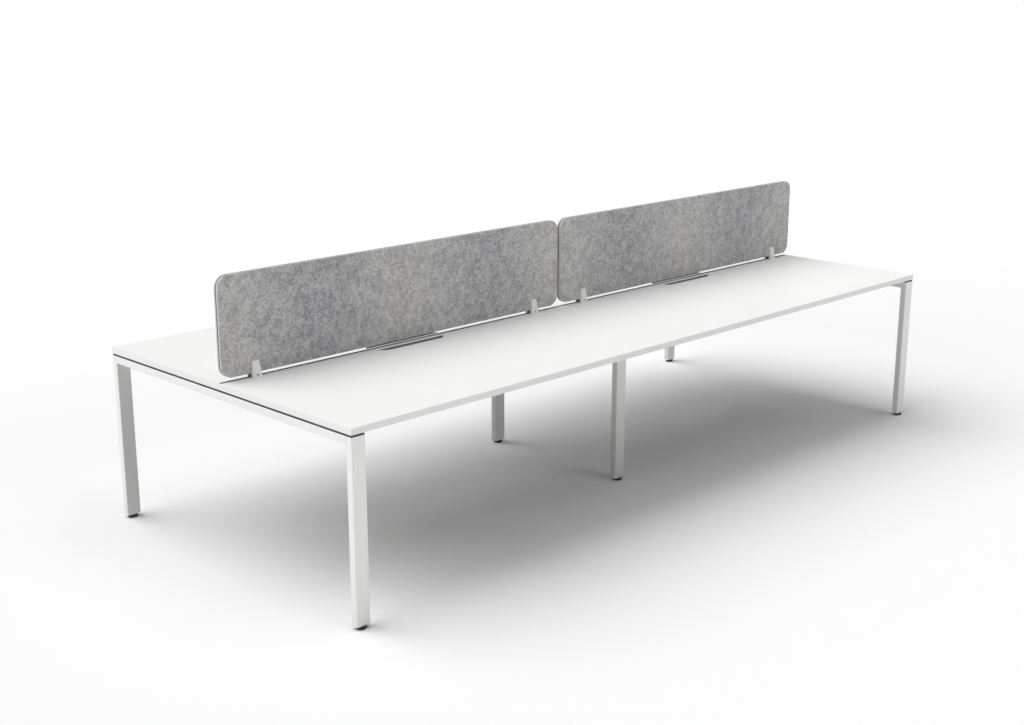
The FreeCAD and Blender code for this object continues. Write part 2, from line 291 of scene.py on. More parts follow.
@dataclass(frozen=True)
class PressedFelt(Finish):
    """Pressed polyester felt: a matt board of mixed grey fibres.

    Pale bands lie across the web where it was carded, with cooler grey between them.
    Smears of fibres slant over both, and the single fibres give a fine grain. The fibres
    are drawn a few millimetres wide, because real ones are too fine to show.

    Args:
        cool: The grey between the bands.
        warm: The pale grey of the bands.
        cut_edge: The colour of the skin's cut rim, paler than the face: partly the felt's own cut tone,
            partly a painted highlight.
        band_m: Distance between bands.
        cloud_mm: Width of the clouds that break the bands up.
        smear_mm: Width of a smear.
        fibre_mm: Width of a fibre.
        smear_turn_deg: How far the smears slant.
        smear_stretch: How much longer than wide they are.
        fibre_share: Share of fibres against smears.
        contrast: Where the mottle is all shade, and where it is all colour.
        cloud_share: Share of clouds against bands.
        dye_share: Share of bands and clouds against mottle.
        sheen: How strong the fuzzy sheen is.
        sheen_roughness: How wide it spreads.
        shine: How strong the mirror part of the sheen is.
        strength: How much of the bump is used.
        depth_mm: The bump's full depth.
    """

    cool: str = "#909198"
    warm: str = "#D1CECB"
    cut_edge: str = "#D2D2D1"
    band_m: float = 0.9
    cloud_mm: float = 160.0
    smear_mm: float = 30.0
    fibre_mm: float = 8.0
    smear_turn_deg: float = 25.0
    smear_stretch: float = 1.2
    fibre_share: float = 0.6
    contrast: tuple[float, float] = (0.41, 0.59)
    cloud_share: float = 0.3
    dye_share: float = 0.4
    sheen: float = 0.25
    sheen_roughness: float = 0.6
    shine: float = 0.2
    strength: float = 0.5
    depth_mm: float = 0.8

    def paint(self, tree: Tree, shader: Node, place: Socket) -> None:
        """Paints the bands, clouds, smears and fibres.

        Args:
            tree: The material's node tree.
            shader: Its surface shader.
            place: Object coordinates.
        """
        slant = add_node(tree, "ShaderNodeMapping", {
            "Vector": place, "Rotation": (0.0, math.radians(self.smear_turn_deg), 0.0),
            "Scale": (1.0, 1.0, self.smear_stretch)}, vector_type="TEXTURE")
        bands = add_node(tree, "ShaderNodeTexWave", {
            "Vector": place, "Scale": math.tau / (WAVE_RATE * self.band_m), "Distortion": 1.2,
            "Detail": 2.0, "Detail Scale": 6.0, "Phase Offset": math.pi}, bands_direction="X")
        clouds = add_node(tree, "ShaderNodeTexNoise", {
            "Vector": place, "Scale": per_metre(self.cloud_mm), "Detail": 2.0, "Roughness": 0.5})
        smears = add_node(tree, "ShaderNodeTexNoise", {
            "Vector": slant.outputs["Vector"], "Scale": per_metre(self.smear_mm), "Detail": 4.0,
            "Roughness": 0.62})
        fibres = add_node(tree, "ShaderNodeTexNoise", {
            "Vector": place, "Scale": per_metre(self.fibre_mm), "Detail": 2.0, "Roughness": 0.7})
        both = add_node(tree, "ShaderNodeMix", {
            FACTOR: self.fibre_share, NUMBER_A: smears.outputs["Fac"], NUMBER_B: fibres.outputs["Fac"]},
            data_type="FLOAT")
        spread = add_node(tree, "ShaderNodeMapRange", {
            "Value": both.outputs[NUMBER_OUT], "From Min": self.contrast[0], "From Max": self.contrast[1]})
        self.tint(tree, shader, spread.outputs["Result"])
        base = shader.inputs["Base Color"].links[0].from_socket
        web = add_node(tree, "ShaderNodeMix", {
            FACTOR: self.cloud_share, NUMBER_A: bands.outputs["Fac"], NUMBER_B: clouds.outputs["Fac"]},
            data_type="FLOAT")
        fleck = add_node(tree, "ShaderNodeMix", {
            FACTOR: web.outputs[NUMBER_OUT], COLOUR_A: linear(self.cool), COLOUR_B: linear(self.warm)},
            data_type="RGBA")
        dyed = add_node(tree, "ShaderNodeMix", {
            FACTOR: self.dye_share, COLOUR_A: base, COLOUR_B: fleck.outputs[COLOUR_OUT]}, data_type="RGBA")
        # The cut rim takes a pale colour, partly the felt's own cut tone and partly a painted highlight.
        cut = add_node(tree, "ShaderNodeAttribute", attribute_name=CUT)
        shown = add_node(tree, "ShaderNodeMix", {
            FACTOR: cut.outputs["Fac"], COLOUR_A: dyed.outputs[COLOUR_OUT],
            COLOUR_B: linear(self.cut_edge)}, data_type="RGBA")
        tree.links.new(shown.outputs[COLOUR_OUT], shader.inputs["Base Color"])
        shader.inputs["Sheen Weight"].default_value = self.sheen
        shader.inputs["Sheen Roughness"].default_value = self.sheen_roughness
        shader.inputs["Specular IOR Level"].default_value = self.shine
        self.raise_grain(tree, shader, both.outputs[NUMBER_OUT], self.strength, self.depth_mm)


# White melamine on board: an even, nearly shadowless white with a dull satin sheen.
MELAMINE = PebbledFinish("white_melamine", "board", "#F6F6F5", "#F2F2F1", 0.5, 0.04, shine=0.15)
# White ABS edge band: the same white as the board, so that only its rounded rim is seen.
ABS_BAND = PebbledFinish("white_abs_band", "edge_band", "#F6F6F5", "#F2F2F1", 0.5, 0.04, shine=0.15)
# White powder coat on steel tube: a shade brighter than the boards, with a fine orange peel.
POWDER_COAT = PebbledFinish("white_powder_coat", "white_steel", "#F8F8F7", "#F4F4F3", 0.45, 0.05,
                            pebble_mm=3.0, drift_mm=140.0, strength=0.2, shine=0.25)
# White powder coat on the cast jaws: a little greyer than the tubes, and clear against the felt.
JAW_COAT = PebbledFinish("white_jaw_powder_coat", "clamp_paint", "#F2F2F1", "#EBEBEA", 0.42, 0.05,
                         pebble_mm=2.0, drift_mm=30.0, strength=0.2)
# Black moulded nylon: nearly black with a broken, leathery sheen on the feet.
BLACK_NYLON = PebbledFinish("black_moulded_nylon", "black_plastic", "#1B1C1E", "#131415", 0.5, 0.06,
                            pebble_mm=1.5, drift_mm=18.0, strength=0.3)
# Dark grey moulded nylon: softer than black, so the clamp blocks keep their form in the shade.
GREY_NYLON = PebbledFinish("dark_grey_moulded_nylon", "clamp_block", "#56575A", "#4C4D50", 0.5, 0.06,
                           pebble_mm=1.5, drift_mm=18.0, strength=0.3)
# Dark core board: a dull dark line between the pale cut edges of the felt, the core's own dark tone
# deepened as painted shade in the groove between the skins.
DARK_CORE_AND_SHADE = PebbledFinish("dark_core_and_groove_shade", "dark_core", "#232427", "#1C1D1F", 0.7, 0.05,
                           pebble_mm=2.0, drift_mm=25.0, strength=0.4)
# Grey lining in the slots: its soft dark grey is painted shade, where bare white walls would glow.
SLOT_SHADE_LINING = PebbledFinish("grey_lining_painted_shade", "edge_band", "#97989A", "#8D8E90", 0.5, 0.06,
                            pebble_mm=1.5, drift_mm=40.0, strength=0.3)
# Dark grey foam tape, matt: its dark grey is painted shade, laid in the slit under the worktops and
# in the gap between them so that both read as dark lines.
SHADE_FOAM = PebbledFinish("dark_foam_painted_shade", "black_plastic", "#5C5D5E", "#525354", 0.8, 0.05,
                     pebble_mm=1.2, drift_mm=30.0, strength=0.4, shine=0.2)
# Bright zinc plate: a bluish glint on screws, plates and stems.
ZINC = ZincPlate("bright_zinc_plate", "zinc_steel", "#C9CCCF", "#A9ADB2", 0.3, 0.06)
# Black oxide on steel: dark screw heads with a dull metal edge.
BLACK_OXIDE = ZincPlate("black_oxide_steel", "zinc_steel", "#2C2D2F", "#1E1F21", 0.42, 0.06)
# Grey pressed felt: a soft, mottled mid grey with no shine.
FELT = PressedFelt("grey_pressed_felt", "felt", "#D2D2D1", "#858588", 0.95, 0.03)


def dress_nodes(nodes: Nodes, prefix: str, finish: Finish) -> None:
    """Gives every shown CAD node of a kind its finish.

    Args:
        nodes: The frame's nodes.
        prefix: How the nodes' names start.
        finish: The finish that they take.
    """
    for name, node in nodes.items():
        if name.startswith(prefix) and not node.hide_render:
            node.data.materials.clear()
            node.data.materials.append(finish.material())
            LOG.info("%s takes %s", name, finish.name)


def finish_piece(bm: bmesh.types.BMesh, name: str, finish: Finish, body: str, *stands_for: str,
                 smooth_deg: float = SMOOTH_DEG) -> bpy.types.Object:
    """Turns a bmesh into a piece that rides on a body.

    Args:
        bm: The piece's geometry, in place. It is freed.
        name: The piece's name.
        finish: Its finish.
        body: The body that it rides on.
        stands_for: The CAD nodes that it is shown for.
        smooth_deg: Edges that turn by less are shaded smooth.

    Returns:
        The piece.
    """
    bmesh.ops.remove_doubles(bm, verts=bm.verts[:], dist=NEAR)
    bmesh.ops.recalc_face_normals(bm, faces=bm.faces[:])
    mesh = bpy.data.meshes.new(name)
    bm.to_mesh(mesh)
    bm.free()
    mesh.shade_smooth()
    mesh.set_sharp_from_angle(angle=math.radians(smooth_deg))
    mesh.materials.append(finish.material())
    piece = bpy.data.objects.new(name, mesh)
    bpy.context.scene.collection.objects.link(piece)
    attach(piece, body)
    if stands_for:
        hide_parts(*stands_for)
    LOG.info("%s stands for %s", name, ", ".join(stands_for) or "trim of its own")
    return piece


def flat_panel(low: Vector, high: Vector) -> bmesh.types.BMesh:
    """Starts a bmesh with one rectangle on the floor of a box.

    Args:
        low: The box's lowest corner.
        high: The box's highest corner.

    Returns:
        The bmesh.
    """
    bm = bmesh.new()
    bmesh.ops.create_grid(bm, x_segments=1, y_segments=1, size=0.5)
    size = high - low
    bmesh.ops.scale(bm, vec=(size.x, size.y, 1.0), verts=bm.verts[:])
    middle = (low + high) / 2
    bmesh.ops.translate(bm, vec=(middle.x, middle.y, low.z), verts=bm.verts[:])
    return bm


def thicken(bm: bmesh.types.BMesh, faces: list[bmesh.types.BMFace], rise: Vector) -> None:
    """Extrudes flat faces into a closed solid.

    Args:
        bm: The bmesh.
        faces: Its flat faces.
        rise: The way and the thickness.
    """
    made = bmesh.ops.extrude_face_region(bm, geom=faces, use_keep_orig=True)
    moved = [part for part in made["geom"] if isinstance(part, bmesh.types.BMVert)]
    bmesh.ops.translate(bm, vec=rise, verts=moved)


def add_bar(bm: bmesh.types.BMesh, outline: list[tuple[float, float]], start: float,
            stop: float) -> None:
    """Adds a bar along X to a bmesh.

    Args:
        bm: The bmesh.
        outline: The bar's section, as Y and Z.
        start: Where it starts in X.
        stop: Where it ends in X.
    """
    section = bm.faces.new([bm.verts.new((start, y, z)) for y, z in outline])
    thicken(bm, [section], Vector((stop - start, 0.0, 0.0)))


def round_off(bm: bmesh.types.BMesh, parts: list[Any], reach: float, steps: int,
              affect: str = "EDGES") -> None:
    """Rounds edges or corners.

    Args:
        bm: The bmesh.
        parts: Its edges or vertices to round.
        reach: How far the rounding reaches from each.
        steps: How many faces it has.
        affect: "EDGES" or "VERTICES".
    """
    bmesh.ops.bevel(bm, geom=parts, offset=reach, offset_type="OFFSET", segments=steps, profile=0.5,
                    affect=affect, material=-1)


def is_level(edge: bmesh.types.BMEdge) -> bool:
    """Tells a level edge from one that rises."""
    return abs(edge.verts[0].co.z - edge.verts[1].co.z) < NEAR


def lies_at(edge: bmesh.types.BMEdge, axis: int, level: float) -> bool:
    """Tells whether both ends of an edge are at a level of an axis."""
    return all(abs(vert.co[axis] - level) < NEAR for vert in edge.verts)


@dataclass
class Assembly:
    """A sub-assembly, which builds its own meshes and dresses the CAD nodes that stay in view."""

    def build(self, nodes: Nodes) -> None:
        """Makes no mesh, because the frame's own shapes are right."""

    def dress(self, nodes: Nodes) -> None:
        """Dresses no node, because each one was made again with its finish."""


@dataclass
class Worktops(Assembly):
    """Four melamine worktops with edge bands, cable slots lined in painted shade, and a gap sealed in
    painted shade.

    Args:
        band: Thickness of an edge band.
        rounding: How far its rounded rim reaches.
        rounding_steps: How many faces the rounding has.
        lining: Thickness of a slot's lining.
        seal: Thickness of a strip in the gap.
        seal_drop: How far the front strip stays below the worktop's face.
        seal_play: Room between a strip and a clamp block.
        lip: Width of the back strip's lip.
        lip_thick: Thickness of that lip.
        cap: Thickness of a cap at the gap's end.
        wall_tilt: Most that the normal of a slot's wall may rise or fall.
        wall_share: Least share of the board's thickness that a slot's wall runs through.
    """

    band: float = 2.0 * MM
    rounding: float = 0.9 * MM
    rounding_steps: int = 3
    lining: float = 1.2 * MM
    seal: float = 2.5 * MM
    seal_drop: float = 0.5 * MM
    seal_play: float = 1.0 * MM
    lip: float = 3.5 * MM
    lip_thick: float = 0.6 * MM
    cap: float = 3.0 * MM
    wall_tilt: float = 0.1
    wall_share: float = 0.99

    def build(self, nodes: Nodes) -> None:
        """Makes the edge bands, and the trim in the slots and in the gap.

        Args:
            nodes: The frame's nodes.
        """
        for row in ROWS:
            for side in SIDES:
                self.make_band(row, side)
                self.line_slot(nodes[f"worktop_{row}_{side}"])
                self.seal_gap(row, side)
        for side in SIDES:
            self.cap_gap(side)

    def seal_gap(self, row: str, side: str) -> None:
        """Lays a strip along a worktop's edge in the gap, cut short at the screen clamps.

        The front strip is white. The back one is dark foam, with a lip that lies on the worktop: its dark
        grey is painted shade in the gap, and the lip lays a dark line along it.

        Args:
            row: Front or back.
            side: Left or right.
        """
        low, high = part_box(f"edge_band_{row}_{side}")
        start, stop = (low.x + self.cap, high.x) if side == "left" else (low.x, high.x - self.cap)
        cuts = [start, stop]
        for place in PLACES:
            block_low, block_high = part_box(f"clamp_block_{side}_{place}")
            cuts += [block_low.x - self.seal_play, block_high.x + self.seal_play]
        cuts.sort()
        if row == "front":
            near, far, top = high.y, high.y + self.seal, high.z - self.seal_drop
            outline = [(near, low.z), (far, low.z), (far, top), (near, top)]
        else:
            near, far, top = low.y - self.seal, low.y, high.z + self.lip_thick
            outline = [(near, low.z), (far, low.z), (far, high.z), (far + self.lip, high.z),
                       (far + self.lip, top), (near, top)]
        bm = bmesh.new()
        for left, right in zip(cuts[::2], cuts[1::2]):
            add_bar(bm, outline, left, right)
        # The back strip's dark grey is painted shade in the gap.
        finish_piece(bm, f"gap_seal_{row}_{side}", ABS_BAND if row == "front" else SHADE_FOAM, "desk")

    def cap_gap(self, side: str) -> None:
        """Closes an end of the gap with a cap that is flush with the bands.

        Args:
            side: Left or right.
        """
        low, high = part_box(f"edge_band_front_{side}")
        near, far = high.y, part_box(f"edge_band_back_{side}")[0].y
        end, inner = (low.x, low.x + self.cap) if side == "left" else (high.x, high.x - self.cap)
        bm = bmesh.new()
        add_bar(bm, [(near, low.z), (far, low.z), (far, high.z), (near, high.z)], end, inner)
        outer = [edge for edge in bm.edges if is_level(edge) and lies_at(edge, 0, end)]
        round_off(bm, outer, self.rounding, self.rounding_steps)
        finish_piece(bm, f"gap_cap_{side}", ABS_BAND, "desk", smooth_deg=RIM_SMOOTH_DEG)

    def line_slot(self, board: bpy.types.Object) -> None:
        """Lines a board's cable slot with painted shade, on the walls that the slot has in the frame.

        Args:
            board: The board's CAD node.
        """
        low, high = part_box(board.name)
        bm = bmesh.new()
        bm.from_mesh(board.data)
        bmesh.ops.remove_doubles(bm, verts=bm.verts[:], dist=NEAR)
        others = [face for face in bm.faces if not self.is_slot_wall(face, low, high)]
        bmesh.ops.delete(bm, geom=others, context="FACES")
        bmesh.ops.solidify(bm, geom=bm.faces[:], thickness=-self.lining)
        # The lining's grey is painted shade on the slot's walls.
        finish_piece(bm, board.name.replace("worktop", "slot_shade_lining"), SLOT_SHADE_LINING, "desk")

    def is_slot_wall(self, face: bmesh.types.BMFace, low: Vector, high: Vector) -> bool:
        """Tells the slot's walls from the board's edges and its screw holes.

        Args:
            face: A face of the board.
            low: The board's lowest corner.
            high: The board's highest corner.

        Returns:
            True for an upright face inside the board that runs from its underside to its top.
        """
        middle = face.calc_center_median()
        inside = (low.x + self.band < middle.x < high.x - self.band
                  and low.y + self.band < middle.y < high.y - self.band)
        levels = [vert.co.z for vert in face.verts]
        through = max(levels) - min(levels) > self.wall_share * (high.z - low.z)
        return inside and through and abs(face.normal.z) < self.wall_tilt

    def make_band(self, row: str, side: str) -> None:
        """Makes one band, a ring whose open edges are rounded and whose butt edges stay square.

        Args:
            row: Front or back.
            side: Left or right.
        """
        node = f"edge_band_{row}_{side}"
        low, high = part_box(node)
        bm = flat_panel(low, high)
        board = bm.faces[:]
        bmesh.ops.inset_region(bm, faces=board, use_boundary=True, thickness=self.band,
                               use_even_offset=True)
        bmesh.ops.delete(bm, geom=board, context="FACES_ONLY")
        thicken(bm, bm.faces[:], Vector((0.0, 0.0, high.z - low.z)))
        end = low.x if side == "left" else high.x
        face = low.y if row == "front" else high.y
        outer = [edge for edge in bm.edges
                 if is_level(edge) and (lies_at(edge, 0, end) or lies_at(edge, 1, face))]
        round_off(bm, outer, self.rounding, self.rounding_steps)
        finish_piece(bm, node + "_rounded", ABS_BAND, "desk", node, smooth_deg=RIM_SMOOTH_DEG)

    def dress(self, nodes: Nodes) -> None:
        """Faces the boards with melamine."""
        dress_nodes(nodes, "worktop_", MELAMINE)


@dataclass
class TubeFrame(Assembly):
    """Welded legs and rails, bolted beams, and what holds the worktops on them.

    Args:
        strip_wide: Width of the dark foam strip on an end frame, whose dark grey is painted shade in the
            slit.
        strip_thick: Its thickness.
        strip_inset: How far it stays inside the frame's outer faces.
    """

    strip_wide: float = 15.0 * MM
    strip_thick: float = 5.0 * MM
    strip_inset: float = 1.5 * MM

    def build(self, nodes: Nodes) -> None:
        """Lays a dark foam strip round the outer edge of each end frame, as painted shade in the slit
        under the worktops.

        Args:
            nodes: The frame's nodes.
        """
        for side in SIDES:
            front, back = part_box(f"leg_{side}_front"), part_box(f"leg_{side}_back")
            low = Vector((front[0].x + self.strip_inset, front[0].y + self.strip_inset, front[1].z))
            high = Vector((back[1].x - self.strip_inset, back[1].y - self.strip_inset, back[1].z))
            near, far = low.y + self.strip_wide, high.y - self.strip_wide
            outer, inner = (low.x, high.x) if side == "left" else (high.x, low.x)
            rim = outer + math.copysign(self.strip_wide, inner - outer)
            outline = [(outer, low.y), (inner, low.y), (inner, near), (rim, near),
                       (rim, far), (inner, far), (inner, high.y), (outer, high.y)]
            bm = bmesh.new()
            strip = bm.faces.new([bm.verts.new((x, y, low.z)) for x, y in outline])
            thicken(bm, [strip], Vector((0.0, 0.0, self.strip_thick)))
            # The strip's dark grey is painted shade for the slit under the worktops.
            finish_piece(bm, f"frame_strip_{side}", SHADE_FOAM, "desk")

    def dress(self, nodes: Nodes) -> None:
        """Coats the tubes, plates the joints and moulds the spacers and inserts.

        Args:
            nodes: The frame's nodes.
        """
        for prefix in ("leg_left", "leg_middle", "leg_right", "rail_", "beam_"):
            dress_nodes(nodes, prefix, POWDER_COAT)
        for prefix in ("joint_plates", "clamp_plates"):
            dress_nodes(nodes, prefix, ZINC)
        for prefix in ("top_spacers", "leg_inserts"):
            dress_nodes(nodes, prefix, BLACK_NYLON)


@dataclass
class Screens(Assembly):
    """Two screens, each of two felt skins on a dark core.

    Args:
        corner: Radius of a skin's corners.
        corner_steps: How many faces a corner has.
        softening: How far the softened rim reaches.
        softening_steps: How many faces it has.
        rim_turn: Faces whose normal points less along Y than this are cut rim.
    """

    corner: float = 48.0 * MM
    corner_steps: int = 16
    softening: float = 1.8 * MM
    softening_steps: int = 4
    rim_turn: float = 0.5

    def build(self, nodes: Nodes) -> None:
        """Makes the felt skins.

        Args:
            nodes: The frame's nodes.
        """
        for row in ROWS:
            for side in SIDES:
                self.make_skin(f"screen_{row}_{side}")

    def make_skin(self, node: str) -> None:
        """Makes one skin with round corners and a softened rim.

        Args:
            node: The CAD node that it stands for.
        """
        low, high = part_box(node)
        size = high - low
        upright = Matrix.Rotation(math.radians(90.0), 4, "X")
        bm = flat_panel(Vector((low.x, 0.0, 0.0)), Vector((high.x, size.z, 0.0)))
        round_off(bm, bm.verts[:], self.corner, self.corner_steps, "VERTICES")
        thicken(bm, bm.faces[:], Vector((0.0, 0.0, size.y)))
        rim = [edge for edge in bm.edges if is_level(edge)]
        round_off(bm, rim, self.softening, self.softening_steps)
        bmesh.ops.transform(bm, matrix=upright, verts=bm.verts[:])
        bmesh.ops.translate(bm, vec=(0.0, high.y, low.z), verts=bm.verts[:])
        skin = finish_piece(bm, node + "_felt", FELT, "desk", node, smooth_deg=RIM_SMOOTH_DEG).data
        # Marks the rim faces, which the felt paints pale, partly as a painted highlight.
        cut = skin.attributes.new(CUT, "FLOAT", "FACE")
        for face in skin.polygons:
            cut.data[face.index].value = float(abs(face.normal.y) < self.rim_turn)

    def dress(self, nodes: Nodes) -> None:
        """Gives the cores their dark board, deepened as painted shade in the groove between the skins."""
        dress_nodes(nodes, "screen_core_", DARK_CORE_AND_SHADE)


class HeadForm(Enum):
    """Forms of screw head, by the number of flats round the outside."""

    CAP = 0
    HEXAGON = 6


@dataclass(frozen=True)
class Screw:
    """One kind of screw: its head with a hexagon socket, and its shank.

    Args:
        head: Head diameter.
        head_height: Head height.
        shank: Shank diameter.
        length: Shank length under the head.
        form: The head's outside.
        sides: How many sides its rounds have.
        soft_edge: Width of the crown's softened edge, as a share of the head's diameter.
        crown_rim: Width of the flat rim round the socket, as such a share.
        socket: The socket's corner radius, as such a share.
        socket_draft: How much the socket narrows to its floor, as such a share.
        socket_depth: The socket's depth, as a share of the head's height.
    """

    head: float
    head_height: float
    shank: float
    length: float
    form: HeadForm = HeadForm.CAP
    sides: int = 24
    soft_edge: float = 0.06
    crown_rim: float = 0.16
    socket: float = 0.29
    socket_draft: float = 0.02
    socket_depth: float = 0.5

    def add_to(self, bm: bmesh.types.BMesh, seat: Vector, out: Vector) -> None:
        """Adds one screw to a bmesh.

        Args:
            bm: The bmesh of the group.
            seat: The middle of the face that the head sits on.
            out: The way that the head stands out.
        """
        first = len(bm.verts)
        made = bmesh.ops.create_circle(bm, cap_ends=True, segments=self.sides, radius=self.head / 2)
        disc = made["verts"][0].link_faces[0]
        lifted = bmesh.ops.extrude_face_region(bm, geom=[disc], use_keep_orig=True)
        crown = [part for part in lifted["geom"] if isinstance(part, bmesh.types.BMFace)][0]
        bmesh.ops.translate(bm, vec=(0.0, 0.0, self.head_height), verts=crown.verts[:])
        if self.form is HeadForm.HEXAGON:
            self.flatten(list(crown.verts) + list(disc.verts), self.head / 2)
        self.sink_socket(bm, crown)
        self.draw_shank(bm, disc)
        bm.verts.ensure_lookup_table()
        turn = Vector((0.0, 0.0, 1.0)).rotation_difference(out).to_matrix().to_4x4()
        bmesh.ops.transform(bm, matrix=Matrix.Translation(seat) @ turn, verts=bm.verts[first:])

    @staticmethod
    def flatten(verts: list[bmesh.types.BMVert], corner: float) -> None:
        """Moves a ring of vertices out or in to the flats of a hexagon.

        Args:
            verts: Vertices round the local Z axis.
            corner: The hexagon's corner radius.
        """
        sector = math.tau / HeadForm.HEXAGON.value
        for vert in verts:
            turn = math.atan2(vert.co.y, vert.co.x) % sector - sector / 2
            reach = corner * math.cos(sector / 2) / math.cos(turn)
            level = vert.co.z
            vert.co.z = 0.0
            vert.co = vert.co.normalized() * reach
            vert.co.z = level

    def sink_socket(self, bm: bmesh.types.BMesh, crown: bmesh.types.BMFace) -> None:
        """Softens the crown and sinks a hexagon socket in it.

        Args:
            bm: The bmesh.
            crown: The head's outer face.
        """
        edge = self.soft_edge * self.head
        bmesh.ops.inset_region(bm, faces=[crown], thickness=edge, depth=edge / 2)
        bmesh.ops.inset_region(bm, faces=[crown], thickness=self.crown_rim * self.head)
        self.flatten(list(crown.verts), self.socket * self.head)
        bmesh.ops.inset_region(bm, faces=[crown], thickness=self.socket_draft * self.head,
                               depth=-self.socket_depth * self.head_height)

    def draw_shank(self, bm: bmesh.types.BMesh, disc: bmesh.types.BMFace) -> None:
        """Draws the shank out of the head's seat.

        Args:
            bm: The bmesh.
            disc: The head's inner face.
        """
        bmesh.ops.inset_region(bm, faces=[disc], thickness=(self.head - self.shank) / 2)
        for vert in disc.verts:
            vert.co = Vector((vert.co.x, vert.co.y, 0.0)).normalized() * (self.shank / 2)
        drawn = bmesh.ops.extrude_face_region(bm, geom=[disc])
        tip = [part for part in drawn["geom"] if isinstance(part, bmesh.types.BMFace)][0]
        bmesh.ops.translate(bm, vec=(0.0, 0.0, -self.length), verts=tip.verts[:])
        bmesh.ops.delete(bm, geom=[disc], context="FACES_ONLY")


@dataclass
class Fixings(Assembly):
    """Screws and bolts, made again with sockets at the places that the frame gives them.

    Args:
        top_screw: Screws that go up into the worktops.
        joint_screw: Screws in the joint plates.
        clamp_screw: Screws in the clamps' jaws.
        clamp_bolt: Bolts that hold the clamps down.
    """

    top_screw: Screw = Screw(10.0 * MM, 3.0 * MM, 5.0 * MM, 53.0 * MM)
    joint_screw: Screw = Screw(10.0 * MM, 3.0 * MM, 5.0 * MM, 12.0 * MM)
    clamp_screw: Screw = Screw(7.6 * MM, 5.0 * MM, 5.0 * MM, 13.0 * MM)
    clamp_bolt: Screw = Screw(8.0 * MM, 3.5 * MM, 5.0 * MM, 29.0 * MM, HeadForm.HEXAGON)

    def build(self, nodes: Nodes) -> None:
        """Makes the four groups of screws.

        Args:
            nodes: The frame's nodes.
        """
        down = Vector((0.0, 0.0, -1.0))
        for node, screw in (("top_screws", self.top_screw), ("joint_screws", self.joint_screw),
                            ("clamp_bolts", self.clamp_bolt)):
            bm = bmesh.new()
            for low, high in self.solids(nodes[node]):
                middle = (low + high) / 2
                screw.add_to(bm, Vector((middle.x, middle.y, low.z + screw.head_height)), down)
            finish_piece(bm, node + "_socketed", ZINC, "desk", node)
        bm = bmesh.new()
        for low, high in self.solids(nodes["clamp_screws"]):
            middle = (low + high) / 2
            out = -1.0 if middle.y < 0.0 else 1.0
            far = low.y if out < 0.0 else high.y
            seat = Vector((middle.x, far - out * self.clamp_screw.head_height, middle.z))
            self.clamp_screw.add_to(bm, seat, Vector((0.0, out, 0.0)))
        finish_piece(bm, "clamp_screws_socketed", BLACK_OXIDE, "desk", "clamp_screws")

    @staticmethod
    def solids(node: bpy.types.Object) -> list[tuple[Vector, Vector]]:
        """Finds the box of each separate solid in a node.

        Args:
            node: A CAD node that holds a group of solids.

        Returns:
            The lowest and highest corner of each solid.
        """
        bm = bmesh.new()
        bm.from_mesh(node.data)
        bmesh.ops.remove_doubles(bm, verts=bm.verts[:], dist=NEAR)
        found = set()
        boxes = []
        for first in bm.verts:
            if first in found:
                continue
            found.add(first)
            group = [first]
            for vert in group:
                others = [edge.other_vert(vert) for edge in vert.link_edges]
                fresh = [other for other in others if other not in found]
                found.update(fresh)
                group += fresh
            low = Vector([min(vert.co[axis] for vert in group) for axis in range(3)])
            high = Vector([max(vert.co[axis] for vert in group) for axis in range(3)])
            boxes.append((low, high))
        bm.free()
        return boxes


@dataclass
class Clamps(Assembly):
    """Tapered jaws on both faces of the screens, with a block in the gap between them."""

    def dress(self, nodes: Nodes) -> None:
        """Coats the jaws and moulds the blocks."""
        dress_nodes(nodes, "clamp_jaw_", JAW_COAT)
        dress_nodes(nodes, "clamp_block_", GREY_NYLON)


@dataclass
class Feet(Assembly):
    """Levelling feet: moulded pads on threaded stems.

    Args:
        pitch: How far the thread climbs in a turn.
        thread_depth: The thread's depth.
        steps: How many sides a turn has.
    """

    pitch: float = 1.5 * MM
    thread_depth: float = 0.6 * MM
    steps: int = 24

    def build(self, nodes: Nodes) -> None:
        """Makes the threaded stems.

        Args:
            nodes: The frame's nodes.
        """
        for frame in FRAMES:
            for row in ROWS:
                self.make_stem(f"{frame}_{row}")

    def make_stem(self, place: str) -> None:
        """Makes one threaded stem by turning a zigzag about its axis while it climbs one pitch.

        Args:
            place: The foot's place in the frame.
        """
        node = "foot_stem_" + place
        low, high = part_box(node)
        radius = (high.x - low.x) / 2
        turns = int((high.z - low.z) / self.pitch) - 1
        bm = bmesh.new()
        points = []
        for turn in range(turns + 1):
            points.append((radius - self.thread_depth, turn * self.pitch))
            points.append((radius, (turn + 0.5) * self.pitch))
        chain = [bm.verts.new((x, 0.0, z)) for x, z in points]
        edges = [bm.edges.new(pair) for pair in zip(chain, chain[1:])]
        # The last ring lies a pitch above the first, so it isn't merged by the spin but as doubles.
        bmesh.ops.spin(bm, geom=chain + edges, cent=(0.0, 0.0, 0.0), axis=(0.0, 0.0, 1.0),
                       dvec=(0.0, 0.0, self.pitch / self.steps), angle=math.tau, steps=self.steps)
        bmesh.ops.remove_doubles(bm, verts=bm.verts[:], dist=NEAR)
        bmesh.ops.holes_fill(bm, edges=[edge for edge in bm.edges if edge.is_boundary])
        middle = (low + high) / 2
        bmesh.ops.translate(bm, vec=(middle.x, middle.y, low.z), verts=bm.verts[:])
        finish_piece(bm, node + "_thread", ZINC, "foot_" + place, node)

    def dress(self, nodes: Nodes) -> None:
        """Moulds the pads."""
        dress_nodes(nodes, "foot_pad_", BLACK_NYLON)


